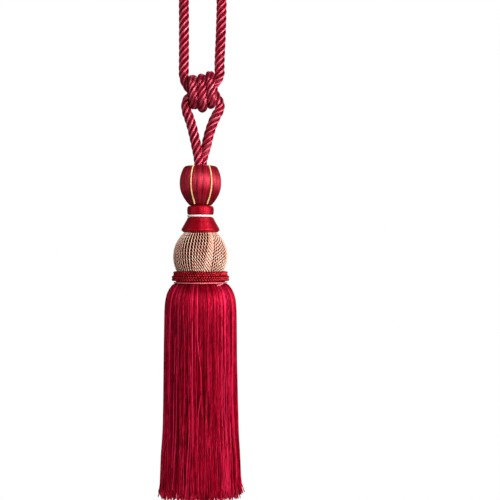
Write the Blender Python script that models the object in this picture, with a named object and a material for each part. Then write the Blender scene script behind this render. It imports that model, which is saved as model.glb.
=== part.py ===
"""A curtain tieback tassel: a twisted cord loop with a three-turn knot, a thread-covered knob, a collar, a cone,
a netted ball and a cut-yarn skirt under a plaited band.

Metres, +Z up, X to the right as it hangs facing the viewer, who looks along +Y. The origin is the hanging point,
at the inside top of the cord loop. Every piece but the cord is turned or set out round the Z axis below it.
"""

import math
import random

import bpy
import numpy as np

MM = 0.001
GAP = 0.3 * MM  # between pieces that touch in the real thing

# The cord: five strands laid round each other.
CORD_RADIUS = 3.5 * MM
CORD_KNOT_RADIUS = 3.3 * MM  # drawn in where the knot squeezes it
CORD_KNOT_SPAN = (-110.0 * MM, -78.0 * MM)
CORD_KNOT_EASE = 6.0 * MM
CORD_GROOVE_DEPTH = 0.62 * MM
CORD_STRANDS = 5
CORD_LAY = 27.5 * MM  # length in which a strand goes once round
CORD_STEP = 2.75 * MM

# The cord's route in mm: x to the right, y away from the viewer, z up. It runs from the cord's end in the knob up
# the front leg, through the knot, round the loop and down behind the knot's left wrap.
ROUTE_BEFORE_WRAPS = (
    (-0.9, -3.6, -158.2),
    (-0.9, -3.6, -151.0),
    (-1.3, -3.5, -146.0),
    (-2.1, -2.9, -141.5),
    (-3.2, -2.2, -136.5),
    (-4.7, -1.8, -129.5),
    (-6.5, -1.9, -122.0),
    (-8.6, -2.2, -115.0),
    (-10.6, -2.5, -109.5),
    (-11.7, -2.6, -104.0),
    (-10.2, -2.6, -99.0),
    (-6.0, -2.6, -96.0),
    (-1.0, -2.6, -94.2),
    (4.0, -2.6, -91.8),
    (8.5, -2.6, -88.9),
    (12.6, -2.5, -85.7),
    (15.1, -2.0, -80.4),
    (15.3, -1.0, -74.5),
    (15.3, 0.0, -68.0),
    (15.9, 0.0, -55.0),
    (16.4, 0.0, -42.0),
    (16.8, 0.0, -28.0),
    (16.8, 0.0, -16.0),
    (15.2, 0.0, -6.6),
    (9.6, 0.0, 0.9),
    (0.6, 0.0, 3.5),
    (-8.0, 0.0, 0.8),
    (-12.1, 0.0, -6.6),
    (-13.2, 0.0, -16.0),
    (-13.2, 0.0, -35.0),
    (-13.2, 0.0, -55.0),
    (-13.3, 0.2, -70.0),
    (-13.4, 0.6, -78.0),
    (-12.7, 1.6, -84.2),
    (-10.0, 3.2, -88.9),
    (-7.0, 4.3, -93.6),
    (-5.4, 3.8, -99.2),
)
# From the top of the knot's right wrap, inside it, out to the rear leg and down into the knob.
ROUTE_AFTER_WRAPS = (
    (8.8, 3.0, -83.8),
    (9.9, 4.8, -89.2),
    (11.9, 4.0, -94.8),
    (14.7, 2.2, -99.6),
    (15.7, 1.0, -105.0),
    (13.6, 0.8, -110.0),
    (11.2, 0.8, -114.5),
    (8.6, 1.0, -121.0),
    (6.3, 1.3, -128.5),
    (4.6, 1.9, -135.5),
    (3.0, 2.8, -140.8),
    (1.6, 3.5, -146.0),
    (0.9, 3.6, -151.0),
    (0.9, 3.6, -158.2),
)
# The knot's three wraps in mm, left to right: x at the bottom, front and top, then z at the bottom and top.
WRAPS = (
    (-4.9, -5.3, -6.1, -103.9, -83.0),
    (1.9, 1.8, 0.9, -105.8, -82.2),
    (8.8, 8.8, 7.7, -103.0, -80.2),
)
WRAP_Y_CORE = -2.6
WRAP_Y_FRONT = -9.7
WRAP_Y_BACK = 10.4
WRAP_HALF_STEPS = 4
WRAP_ROUNDNESS = 0.8  # under 1 fills the oval's corners

# The knob: a turned mould covered with thread. Its profile is the radius and the drop below its top, in mm.
KNOB_TOP = -152.2 * MM
KNOB_PROFILE = (
    (11.2, 0.0),
    (12.6, 0.6),
    (13.9, 2.4),
    (15.6, 6.9),
    (16.5, 13.0),
    (15.8, 19.6),
    (13.7, 24.6),
    (10.8, 29.0),
    (8.6, 31.4),
)
KNOB_HOLE_RADIUS = 4.95 * MM  # the slot for the cord's ends runs along Y: its end radius
KNOB_HOLE_HALF_RUN = 3.5 * MM
KNOB_HOLE_DEPTH = 6.5 * MM
KNOB_GROOVE_DEPTH = 0.8 * MM
KNOB_GROOVE_HALF_WIDTH = 30.0  # degrees
KNOB_GROOVE_SHARPNESS = 6
KNOB_SHOULDER_SHARE = 0.35  # of the groove, where the flat top turns down

KNOB_CORD_ANGLES = (-55.0, 65.0, 125.0, -115.0)  # degrees from +X: two cords that cross over the mould
KNOB_CORD_RADIUS = 0.65 * MM
KNOB_CORD_START = 9.4 * MM  # its first point's distance from the axis, on the flat top
KNOB_CORD_FOOT = 0.35  # where it ends, as a share of the knob's last slope
KNOB_CORD_CLEARANCE = 0.35 * MM
KNOB_CORD_SIDES = 5

# The collar, ring and cone below the knob, also as radius and drop in mm.
COLLAR_PROFILE = ((8.4, 0.0), (9.6, 0.5), (10.5, 1.7), (10.7, 3.6), (10.6, 5.6), (10.3, 7.2))
NECK_RING_RADIUS = 9.5 * MM
NECK_RING_CORD_RADIUS = 0.8 * MM
NECK_RING_SIDES = 6
CONE_PROFILE = ((8.35, 0.0), (8.35, 1.9), (10.2, 1.9), (11.4, 4.4), (14.9, 11.0), (15.1, 11.9), (13.6, 13.8))

# The ball and the net drawn over it are ovals turned round the axis.
BALL_RADIUS = 20.7 * MM
BALL_HALF_HEIGHT = 22.9 * MM
BALL_HEIGHT = 34.9 * MM
BALL_CENTRE_DROP = 19.2 * MM  # below the ball's flat top
BALL_ROWS = 9
NET_CLEARANCE = 0.4 * MM
NET_THICKNESS = 1.0 * MM
NET_TOP_DROP = 0.7 * MM  # below the ball's flat top
NET_BOTTOM = -236.3 * MM
NET_ROWS = 8

# The plaited band, with its section as radius and drop in mm, and the thin cord under it.
GIMP_TOP = -236.0 * MM
GIMP_SECTION = (
    (20.2, 0.0),
    (21.0, 0.0),
    (21.6, 1.2),
    (21.6, 3.0),
    (21.2, 4.0),
    (22.6, 5.0),
    (22.8, 6.6),
    (22.0, 8.3),
    (20.2, 8.5),
)
LINE_RADIUS = 0.6 * MM
LINE_RING_RADIUS = 21.0 * MM
LINE_SIDES = 5

# The skirt's head, as radius and z in mm: a cup that holds the ball, a wall inside the band and a shoulder.
HEAD_PROFILE = (
    (15.4, -240.7),
    (17.2, -238.5),
    (18.3, -237.0),
    (19.9, -237.0),
    (19.9, -246.1),
    (22.2, -246.5),
    (24.4, -247.8),
    (25.2, -249.0),
    (25.2, -250.0),
)
# The skirt's outline, as z and radius in mm, from its uneven end up to its roots.
SKIRT_END = -413.0
SKIRT_OUTLINE = (
    (SKIRT_END, 33.6),
    (-399.0, 32.8),
    (-382.0, 32.1),
    (-365.0, 30.9),
    (-339.0, 29.8),
    (-291.0, 29.3),
    (-269.0, 29.1),
    (-257.8, 28.1),
    (-253.0, 26.5),
    (-249.5, 24.9),
)
# Rings of strands, from the outermost in: how many, their share of the outline's radius, their own radius at the
# end in mm, and the heights of their points above the end in mm.
SKIRT_RINGS = (
    (80, 1.0, 0.95, (-249.5, -254.0, -262.0, -300.0, -362.0)),
    (66, 0.88, 0.95, (-249.5, -256.0, -268.0, -345.0)),
    (39, 0.76, 1.5, (-249.5, -264.0)),
    (33, 0.64, 1.5, (-249.5, -264.0)),
    (27, 0.52, 1.5, (-249.5,)),
    (21, 0.405, 1.5, (-249.5,)),
    (15, 0.29, 1.5, (-249.5,)),
    (9, 0.175, 1.5, (-249.5,)),
    (3, 0.07, 1.5, (-249.5,)),
)
STRAND_SIDES = 3
STRAND_JITTER = 0.1 * MM
STRAND_DRIFT = 0.9 * MM  # sideways at an outer strand's end, shared with its neighbours
STRAND_WAVE = 0.25 * MM  # in and out at an outer strand's end, shared with its neighbours
END_UNEVENNESS = 2.4 * MM

TURNED_SIDES = 36
SMALL_TURNED_SIDES = 30
CREASE_ANGLE = math.radians(50)

CRIMSON = (0.42, 0.012, 0.045, 1.0)
SCARLET = (0.55, 0.008, 0.035, 1.0)
DARK_RED = (0.13, 0.004, 0.012, 1.0)
GOLD = (0.72, 0.47, 0.27, 1.0)
CREAM = (0.86, 0.80, 0.70, 1.0)

# Heights of the stacked pieces, each just below the one above it.
COLLAR_TOP = KNOB_TOP - KNOB_PROFILE[-1][1] * MM - GAP
CONE_TOP = COLLAR_TOP - COLLAR_PROFILE[-1][1] * MM - GAP
BALL_TOP = CONE_TOP - CONE_PROFILE[-1][1] * MM - GAP
BALL_CENTRE = BALL_TOP - BALL_CENTRE_DROP
LINE_HEIGHT = GIMP_TOP - GIMP_SECTION[-1][1] * MM - GAP - LINE_RADIUS


def clear_scene():
    for obj in list(bpy.data.objects):
        bpy.data.objects.remove(obj)


def material(name, colour, roughness):
    made = bpy.data.materials.new(name)
    made.use_nodes = True
    shader = made.node_tree.nodes["Principled BSDF"]
    shader.inputs["Base Color"].default_value = colour
    shader.inputs["Roughness"].default_value = roughness
    shader.inputs["Metallic"].default_value = 0.0
    return made


def add_piece(name, points, faces, made_of, hanger, height=0.0):
    mesh = bpy.data.meshes.new(name)
    mesh.from_pydata([tuple(point) for point in points], [], faces)
    mesh.materials.append(made_of)
    mesh.shade_smooth()
    mesh.set_sharp_from_angle(angle=CREASE_ANGLE)
    obj = bpy.data.objects.new(name, mesh)
    obj.location = (0.0, 0.0, height)
    obj.parent = hanger
    bpy.context.scene.collection.objects.link(obj)
    return obj


def grid_faces(rows, columns, closed_rows=False):
    """Quads of a grid whose columns close round, facing out where rows run down the outer side."""
    faces = []
    for i in range(rows if closed_rows else rows - 1):
        here, below = i * columns, (i + 1) % rows * columns
        for j in range(columns):
            beside = (j + 1) % columns
            faces.append((here + j, below + j, below + beside, here + beside))
    return faces


def capped(points, rows, columns):
    """Points and faces of a grid closed at both ends, by a fan round a point in the middle of each."""
    start = np.mean(points[:columns], axis=0)
    end = np.mean(points[-columns:], axis=0)
    faces = grid_faces(rows, columns)
    first, last = len(points), len(points) + 1
    foot = (rows - 1) * columns
    for j in range(columns):
        beside = (j + 1) % columns
        faces.append((first, j, beside))
        faces.append((last, foot + beside, foot + j))
    return list(points) + [start, end], faces


def turned_points(rows, sides, radius_at=None, start=0.0):
    """Points round Z of (radius, z) rows. radius_at may change a row's radius from angle to angle."""
    points = []
    for row, (radius, z) in enumerate(rows):
        for j in range(sides):
            angle = start + 2 * math.pi * j / sides
            r = radius_at(row, angle) if radius_at else radius
            points.append((r * math.cos(angle), r * math.sin(angle), z))
    return points


def turned(rows, sides, radius_at=None, start=0.0):
    """A solid turned round Z, whose rows run down its outer side."""
    return capped(turned_points(rows, sides, radius_at, start), len(rows), sides)


def turned_ring(section, sides):
    """A ring turned round Z, whose closed section runs down its outer side."""
    return turned_points(section, sides), grid_faces(len(section), sides, closed_rows=True)


def from_drops(profile):
    """(radius, z) rows in metres from a profile of radius and drop in mm."""
    return [(radius * MM, -drop * MM) for radius, drop in profile]


def round_section(ring_radius, radius, sides):
    """The closed section of a ring of round cord."""
    angles = [-2 * math.pi * i / sides for i in range(sides)]
    return [(ring_radius + radius * math.cos(angle), radius * math.sin(angle)) for angle in angles]


def smooth_curve(points, step):
    """Evenly spaced points of a natural cubic spline through the given ones, and its length."""
    knots = np.concatenate([[0.0], np.cumsum(np.linalg.norm(np.diff(points, axis=0), axis=1) ** 0.5)])
    count = len(knots)
    width = np.diff(knots)
    slopes = np.diff(points, axis=0) / width[:, None]
    system = np.eye(count)
    change = np.zeros((count, 3))
    for i in range(1, count - 1):
        system[i, i - 1 : i + 2] = width[i - 1], 2 * (width[i - 1] + width[i]), width[i]
        change[i] = 6 * (slopes[i] - slopes[i - 1])
    bend = np.linalg.solve(system, change)
    at = np.linspace(0.0, knots[-1], 200 * count)
    k = np.clip(np.searchsorted(knots, at, side="right") - 1, 0, count - 2)
    ahead = (knots[k + 1] - at)[:, None]
    behind = (at - knots[k])[:, None]
    span = width[k][:, None]
    curve = (bend[k] * ahead**3 + bend[k + 1] * behind**3) / (6 * span)
    curve += (points[k] / span - bend[k] * span / 6) * ahead
    curve += (points[k + 1] / span - bend[k + 1] * span / 6) * behind
    along = np.concatenate([[0.0], np.cumsum(np.linalg.norm(np.diff(curve, axis=0), axis=1))])
    even = np.linspace(0.0, along[-1], round(along[-1] / step) + 1)
    return np.stack([np.interp(even, along, curve[:, axis]) for axis in range(3)], axis=1), along[-1]


def half_turn(x_at, y_out, z_from, z_to, parts):
    """Points in mm of one side of a wrap, from z_from to z_to, bulging from the core to y_out."""
    points = []
    for part in parts:
        out = math.sin(math.pi * part) ** WRAP_ROUNDNESS
        y = WRAP_Y_CORE + (y_out - WRAP_Y_CORE) * out
        z = (z_from + z_to) / 2 + (z_from - z_to) / 2 * math.cos(math.pi * part)
        points.append((x_at(part), y, z))
    return points


def wrap_points():
    """The knot's wraps in mm: up the front of each, over its top and down the back to the next one's bottom."""
    steps = [i / WRAP_HALF_STEPS for i in range(WRAP_HALF_STEPS + 1)]
    points = []
    for index, (x_bottom, x_front, x_top, z_bottom, z_top) in enumerate(WRAPS):

        def up_the_front(part):
            low, high = (1 - part) * (1 - 2 * part), part * (2 * part - 1)
            return x_bottom * low + 4 * x_front * part * (1 - part) + x_top * high

        points += half_turn(up_the_front, WRAP_Y_FRONT, z_bottom, z_top, steps)
        if index == len(WRAPS) - 1:
            break
        next_x, next_z = WRAPS[index + 1][0], WRAPS[index + 1][3]

        def down_the_back(part):
            return x_top + (next_x - x_top) * part

        points += half_turn(down_the_back, WRAP_Y_BACK, z_top, next_z, steps[1:-1])
    return points


def carried_frames(curve):
    """Two directions square to a curve at each of its points, carried along it without turning round it."""
    along = np.gradient(curve, axis=0)
    along /= np.linalg.norm(along, axis=1)[:, None]
    side = np.cross(along[0], (0.0, 1.0, 0.0))
    sides = []
    for direction in along:
        side = side - direction * np.dot(side, direction)
        side /= np.linalg.norm(side)
        sides.append(side)
    sides = np.array(sides)
    return sides, np.cross(along, sides)


def cord_radius(z):
    """The cord's outer radius, which eases to a smaller one inside the knot."""
    low, high = CORD_KNOT_SPAN
    inside = np.clip((z - low) / CORD_KNOT_EASE, 0.0, 1.0) * np.clip((high - z) / CORD_KNOT_EASE, 0.0, 1.0)
    return CORD_RADIUS + (CORD_KNOT_RADIUS - CORD_RADIUS) * inside


def add_cord_loop(made_of, hanger):
    """The cord, with a crest and a groove for each strand, which wind round it like a right-handed screw."""
    route = ROUTE_BEFORE_WRAPS + tuple(wrap_points()) + ROUTE_AFTER_WRAPS
    curve, length = smooth_curve(np.array(route) * MM, CORD_STEP)
    side, across = carried_frames(curve)
    turn = 2 * math.pi * np.linspace(0.0, length, len(curve)) / CORD_LAY
    crest = cord_radius(curve[:, 2])
    points = []
    for centre, u, v, angle, radius in zip(curve, side, across, turn, crest):
        for k in range(2 * CORD_STRANDS):
            around = angle - math.pi * k / CORD_STRANDS
            reach = radius - CORD_GROOVE_DEPTH * (k % 2)
            points.append(centre + reach * (math.cos(around) * u + math.sin(around) * v))
    points, faces = capped(points, len(curve), 2 * CORD_STRANDS)
    add_piece("cord_loop", points, faces, made_of, hanger)


def slot_radius(angle):
    """How far the knob's hole reaches at an angle: a round-ended slot that runs along Y."""
    across, along = abs(math.cos(angle)), abs(math.sin(angle))
    if KNOB_HOLE_RADIUS * along <= KNOB_HOLE_HALF_RUN * across:
        return KNOB_HOLE_RADIUS / across
    return KNOB_HOLE_HALF_RUN * along + math.sqrt(KNOB_HOLE_RADIUS**2 - (KNOB_HOLE_HALF_RUN * across) ** 2)


def groove_depth(angle):
    """How far the knob is drawn in at an angle, deepest under each of its cords."""
    offs = [abs((math.degrees(angle) - cord + 180.0) % 360.0 - 180.0) for cord in KNOB_CORD_ANGLES]
    off = min(min(offs), KNOB_GROOVE_HALF_WIDTH)
    return KNOB_GROOVE_DEPTH * math.cos(math.pi / 2 * off / KNOB_GROOVE_HALF_WIDTH) ** KNOB_GROOVE_SHARPNESS


def knob_row_radius(row, angle):
    """The knob's radius at a row of its profile, whose first row is the edge of the flat top."""
    share = KNOB_SHOULDER_SHARE if row == 0 else 1.0
    return KNOB_PROFILE[row][0] * MM - share * groove_depth(angle)


def add_knob(made_of, hanger):
    hole = [(KNOB_HOLE_RADIUS, -KNOB_HOLE_DEPTH), (KNOB_HOLE_RADIUS, 0.0)]

    def radius_at(row, angle):
        if row < len(hole):
            return slot_radius(angle)
        return knob_row_radius(row - len(hole), angle)

    rows = hole + from_drops(KNOB_PROFILE)
    points, faces = turned(rows, TURNED_SIDES, radius_at, math.radians(KNOB_CORD_ANGLES[0]))
    add_piece("knob", points, faces, made_of, hanger, KNOB_TOP)


def add_knob_cord(index, made_of, hanger):
    """A thin cord laid from the knob's top over its side to its foot, half sunk in the groove below it."""
    angle = math.radians(KNOB_CORD_ANGLES[index])
    bed = [(KNOB_CORD_START, 0.0, 0.0)]
    bed += [(knob_row_radius(row, angle), 0.0, -drop * MM) for row, (_, drop) in enumerate(KNOB_PROFILE)]
    bed = np.array(bed)
    bed[-1] = bed[-2] + KNOB_CORD_FOOT * (bed[-1] - bed[-2])
    slope = np.gradient(bed, axis=0)
    slope /= np.linalg.norm(slope, axis=1)[:, None]
    beside = np.array((0.0, 1.0, 0.0))
    outward = np.cross(slope, beside)
    centres = bed + outward * (KNOB_CORD_RADIUS + KNOB_CORD_CLEARANCE)
    points = []
    for centre, out in zip(centres, outward):
        for k in range(KNOB_CORD_SIDES):
            around = 2 * math.pi * k / KNOB_CORD_SIDES
            points.append(centre + KNOB_CORD_RADIUS * (math.cos(around) * out + math.sin(around) * beside))
    points, faces = capped(points, len(centres), KNOB_CORD_SIDES)
    obj = add_piece(f"knob_cord_{index + 1}", points, faces, made_of, hanger, KNOB_TOP)
    obj.rotation_euler = (0.0, 0.0, angle)


def add_collar(made_of, hanger):
    points, faces = turned(from_drops(COLLAR_PROFILE), SMALL_TURNED_SIDES)
    add_piece("collar", points, faces, made_of, hanger, COLLAR_TOP)


def add_neck_ring(made_of, hanger):
    section = round_section(NECK_RING_RADIUS, NECK_RING_CORD_RADIUS, NECK_RING_SIDES)
    points, faces = turned_ring(section, SMALL_TURNED_SIDES)
    add_piece("neck_ring", points, faces, made_of, hanger, CONE_TOP - NECK_RING_CORD_RADIUS)


def add_cone(made_of, hanger):
    points, faces = turned(from_drops(CONE_PROFILE), SMALL_TURNED_SIDES)
    add_piece("cone", points, faces, made_of, hanger, CONE_TOP)


def oval_rows(half_width, half_height, top, bottom, count):
    """Rows of (radius, z) down an oval's side between two heights over its centre."""
    first, last = math.acos(top / half_height), math.acos(bottom / half_height)
    angles = [first + (last - first) * i / (count - 1) for i in range(count)]
    return [(half_width * math.sin(angle), half_height * math.cos(angle)) for angle in angles]


def add_ball(made_of, hanger):
    rows = oval_rows(BALL_RADIUS, BALL_HALF_HEIGHT, BALL_CENTRE_DROP, BALL_CENTRE_DROP - BALL_HEIGHT, BALL_ROWS)
    points, faces = turned(rows, TURNED_SIDES)
    add_piece("ball", points, faces, made_of, hanger, BALL_CENTRE)


def add_ball_net(made_of, hanger):
    """A thin shell over the ball, open at its top and its bottom."""
    top = BALL_CENTRE_DROP - NET_TOP_DROP
    bottom = NET_BOTTOM - BALL_CENTRE
    inner, outer = (
        oval_rows(BALL_RADIUS + out, BALL_HALF_HEIGHT + out, top, bottom, NET_ROWS)
        for out in (NET_CLEARANCE, NET_CLEARANCE + NET_THICKNESS)
    )
    points, faces = turned_ring(outer + inner[::-1], TURNED_SIDES)
    add_piece("ball_net", points, faces, made_of, hanger, BALL_CENTRE)


def add_gimp(made_of, hanger):
    points, faces = turned_ring(from_drops(GIMP_SECTION), TURNED_SIDES)
    add_piece("gimp", points, faces, made_of, hanger, GIMP_TOP)


def add_gimp_line(made_of, hanger):
    points, faces = turned_ring(round_section(LINE_RING_RADIUS, LINE_RADIUS, LINE_SIDES), TURNED_SIDES)
    add_piece("gimp_line", points, faces, made_of, hanger, LINE_HEIGHT)


def outline_radius(z):
    """The skirt's outer radius in metres at a height in mm."""
    heights, radii = zip(*SKIRT_OUTLINE)
    return float(np.interp(z, heights, radii)) * MM


def strand_points(angle, share, thickness, heights, rng):
    """One strand as a three-sided prism that follows the skirt's outline and drifts a little with its neighbours."""
    jitter = rng.uniform(-1.0, 1.0) * STRAND_JITTER
    end = SKIRT_END + rng.uniform(-1.0, 1.0) * END_UNEVENNESS / MM
    points = []
    for z in (*heights, end):
        fallen = (heights[0] - z) / (heights[0] - SKIRT_END)
        radius = thickness * MM * outline_radius(z) / outline_radius(SKIRT_END)
        wave = STRAND_WAVE * fallen * math.sin(5 * angle + 7 * fallen)
        drift = STRAND_DRIFT * fallen * math.sin(2 * angle + 3 * fallen)
        out = share * (outline_radius(z) - radius + wave)
        toward = angle + (share * drift + jitter) / out
        x, y = out * math.cos(toward), out * math.sin(toward)
        for k in range(STRAND_SIDES):
            corner = toward + 2 * math.pi * k / STRAND_SIDES
            points.append((x + radius * math.cos(corner), y + radius * math.sin(corner), z * MM))
    return points


def add_strands(made_of, hanger):
    """All the strands as one hidden mesh, which the skirt's head is joined to."""
    rng = random.Random(7)
    points, faces = [], []
    for ring, (count, share, thickness, heights) in enumerate(SKIRT_RINGS):
        for i in range(count):
            angle = 2 * math.pi * (i + 0.5 * (ring % 2)) / count
            strand = strand_points(angle, share, thickness, heights, rng)
            first, last = len(points), len(points) + len(strand) - 1
            sides = grid_faces(len(heights) + 1, STRAND_SIDES)
            faces += [tuple(first + corner for corner in face) for face in sides]
            faces.append(tuple(first + k for k in range(STRAND_SIDES)))
            faces.append(tuple(last - k for k in range(STRAND_SIDES)))
            points += strand
    obj = add_piece("strands", points, faces, made_of, hanger)
    obj.hide_render = True
    obj.display_type = "WIRE"
    return obj


def add_skirt(made_of, hanger):
    rows = [(radius * MM, z * MM) for radius, z in HEAD_PROFILE]
    points, faces = turned(rows, TURNED_SIDES)
    skirt = add_piece("skirt", points, faces, made_of, hanger)
    roots = skirt.modifiers.new("roots", "BOOLEAN")
    roots.operation = "UNION"
    roots.object = add_strands(made_of, hanger)


def build():
    clear_scene()
    hanger = bpy.data.objects.new("hanging_point", None)
    bpy.context.scene.collection.objects.link(hanger)
    twisted = material("twisted_cord", CRIMSON, 0.55)
    satin = material("satin_thread", SCARLET, 0.35)
    gold = material("gold_thread", GOLD, 0.5)
    add_cord_loop(twisted, hanger)
    add_knob(satin, hanger)
    for index in range(len(KNOB_CORD_ANGLES)):
        add_knob_cord(index, gold, hanger)
    add_collar(satin, hanger)
    add_neck_ring(material("cream_thread", CREAM, 0.6), hanger)
    add_cone(satin, hanger)
    add_ball(material("dark_thread", DARK_RED, 0.7), hanger)
    add_ball_net(gold, hanger)
    add_gimp(twisted, hanger)
    add_gimp_line(gold, hanger)
    add_skirt(material("cut_yarn", CRIMSON, 0.6), hanger)


build()
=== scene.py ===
# %% [markdown]
# # A curtain tieback tassel in cord, thread, net and cut yarn
# The solid model already fixes where each piece of the tassel hangs and how big it is. This lesson dresses
# every one of those solids in the textile that the real piece is made of. Lengths are in metres, Z points
# up, X points to the right, the viewer looks along Y, and the origin is the point that the cord loop hangs
# from.

import bpy
import numpy as np
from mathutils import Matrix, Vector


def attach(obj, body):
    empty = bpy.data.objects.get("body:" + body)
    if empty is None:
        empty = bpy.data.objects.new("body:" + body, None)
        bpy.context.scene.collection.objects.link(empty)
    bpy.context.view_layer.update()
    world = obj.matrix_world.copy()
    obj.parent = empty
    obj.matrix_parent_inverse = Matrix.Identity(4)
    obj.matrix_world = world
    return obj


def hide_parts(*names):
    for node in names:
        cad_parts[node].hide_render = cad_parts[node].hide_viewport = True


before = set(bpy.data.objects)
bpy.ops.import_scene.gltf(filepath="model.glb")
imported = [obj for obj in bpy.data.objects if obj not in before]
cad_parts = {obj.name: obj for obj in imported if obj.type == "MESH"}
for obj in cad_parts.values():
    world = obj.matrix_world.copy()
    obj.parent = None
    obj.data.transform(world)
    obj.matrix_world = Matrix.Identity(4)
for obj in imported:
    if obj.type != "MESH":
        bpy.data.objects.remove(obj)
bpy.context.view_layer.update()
MM = 0.001
TURN = 2 * np.pi
print("solids:", ", ".join(sorted(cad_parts)))

# %% [markdown]
# ## Camera
# The photograph was taken from straight in front. One of its pixels is 0.8 mm at the tassel, whose axis
# stands a little to the left of the middle, and the loop's bend lies just above the picture. A long lens
# from 0.85 m away gives the same weak perspective. The camera is moved instead of shifted, so that it can
# circle the tassel later.

# %% Camera
PIXEL = 0.8 * MM
PICTURE = 500
AXIS_COLUMN = 200.5
HANGING_ROW = -24.2
CAMERA_DISTANCE = 853 * MM
SENSOR = 36.0

scene = bpy.context.scene


def new_object(name, data):
    """An object in the scene that shows the data."""
    made = bpy.data.objects.new(name, data)
    scene.collection.objects.link(made)
    return made


camera = new_object("camera", bpy.data.cameras.new("camera"))
camera.data.sensor_width = SENSOR
camera.data.lens = SENSOR * CAMERA_DISTANCE / (PICTURE * PIXEL)
camera.location = (
    (PICTURE / 2 - AXIS_COLUMN) * PIXEL,
    -CAMERA_DISTANCE,
    (HANGING_ROW - PICTURE / 2) * PIXEL,
)
camera.rotation_euler = (np.pi / 2, 0.0, 0.0)
scene.camera = camera
print("lens:", round(camera.data.lens, 1), "mm")

# %% [markdown]
# ## Surfaces from grids of points
# Every piece here is one or more grids of points: rows run down or along the piece, and columns run round
# it. The same few helpers skin such grids, carry circles along paths, and turn profiles round the Z axis.
# They work on whole arrays, so a thousand threads cost no more lines than one.


# %% Directions and lengths
def unit(vectors):
    """Each vector divided by its own length."""
    return vectors / np.linalg.norm(vectors, axis=-1, keepdims=True)


def wrapped(angle):
    """The same angle within half a turn on either side of zero."""
    return (angle + np.pi) % TURN - np.pi


def full_turn(count):
    """That many angles, evenly spaced round a turn."""
    return TURN * np.arange(count) / count


def on_circle(radius, angle, height):
    """Points at a radius from the Z axis, an angle round it and a height. Each of the three may be an
    array."""
    return np.stack(np.broadcast_arrays(radius * np.cos(angle), radius * np.sin(angle), height), axis=-1)


def length_along(path, closed=False):
    """Metres from the first row to each row of each path, and once round to the first again if it is
    closed."""
    rows = np.concatenate([path, path[:, :1]], axis=1) if closed else path
    steps = np.linalg.norm(np.diff(rows, axis=1), axis=-1)
    return np.concatenate([np.zeros((len(path), 1)), np.cumsum(steps, axis=1)], axis=1)


def soft_noise(around, along, seed, most_around, most_along, waves=9):
    """A smooth random surface from about -1 to 1: a sum of sine waves with whole numbers of periods round a
    turn, and random slopes along the piece."""
    rng = np.random.default_rng(seed)
    total = 0.0
    for _ in range(waves):
        phase = rng.integers(1, most_around + 1) * around + rng.uniform(-most_along, most_along) * along
        total = total + np.sin(phase + rng.uniform(0, TURN))
    return total / np.sqrt(waves)


# %% Skin a stack of grids
def grid_skin(tubes, rows, columns, closed):
    """Corner numbers of the quads of a stack of grids, with each corner's tube, row and column. The last
    column joins the first, and a closed tube's last row joins its first too."""
    steps = rows if closed else rows - 1
    places = np.meshgrid(np.arange(tubes), np.arange(steps), np.arange(columns), indexing="ij")
    tube, row, column = (place.reshape(-1, 1) for place in places)
    row = row + np.array([0, 1, 1, 0])
    column = column + np.array([0, 0, 1, 1])
    return (tube * rows + row % rows) * columns + column % columns, tube, row, column


def make_piece(name, points, along, finish, slot, replaced=(), closed=False, **values):
    """An object from points[tube, row, column]. Its UV map holds the share of the way round and the
    millimetres along, and each extra value becomes an attribute of the points. Open tubes get an end face
    at both ends."""
    tubes, rows, columns, _ = points.shape
    quads, tube, row, column = grid_skin(tubes, rows, columns, closed)
    faces = [quads]
    maps = [np.stack([column / columns, along[tube, row] / MM], axis=-1)]
    if not closed:
        first = np.arange(tubes)[:, None] * rows * columns + np.arange(columns)
        faces += [first, first[:, ::-1] + (rows - 1) * columns]
        maps += [np.zeros(first.shape + (2,))] * 2
    corners = np.concatenate([face.ravel() for face in faces])
    sizes = np.concatenate([np.full(len(face), face.shape[1]) for face in faces])
    mesh = bpy.data.meshes.new(name)
    mesh.vertices.add(tubes * rows * columns)
    mesh.vertices.foreach_set("co", points.astype(np.float32).ravel())
    mesh.loops.add(len(corners))
    mesh.loops.foreach_set("vertex_index", corners.astype(np.int32))
    mesh.polygons.add(len(sizes))
    mesh.polygons.foreach_set("loop_start", (np.cumsum(sizes) - sizes).astype(np.int32))
    uv = np.concatenate([part.reshape(-1, 2) for part in maps]).astype(np.float32)
    mesh.uv_layers.new(name="thread").data.foreach_set("uv", uv.ravel())
    for key, value in values.items():
        spread = np.broadcast_to(value, (tubes, rows, columns)).astype(np.float32)
        mesh.attributes.new(key, "FLOAT", "POINT").data.foreach_set("value", spread.ravel())
    mesh.update(calc_edges=True)
    mesh.shade_smooth()
    mesh.materials.append(finish)
    piece = new_object(name, mesh)
    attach(piece, "root")
    if replaced:
        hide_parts(*replaced)
    print(f"{name}: {int(sizes.sum() - 2 * len(sizes))} triangles")
    return piece


# %% Tubes along paths, and surfaces turned round Z
def round_tubes(path, normal, reach, sides, closed=False):
    """Tubes along paths[tube, row]: point = place + reach * (cos(angle) * up + sin(angle) * side), where up
    is the normal squared to the path's direction, and side is up x direction."""
    ahead = np.roll(path, -1, axis=1) - np.roll(path, 1, axis=1) if closed else np.gradient(path, axis=1)
    direction = unit(ahead)
    up = unit(normal - direction * np.sum(normal * direction, axis=-1, keepdims=True))
    side = np.cross(up, direction)
    angle = full_turn(sides)[:, None]
    ring = np.cos(angle) * up[:, :, None] + np.sin(angle) * side[:, :, None]
    return path[:, :, None] + np.broadcast_to(reach, path.shape[:2] + (sides,))[..., None] * ring


PLY_FULLNESS = 0.6


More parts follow.
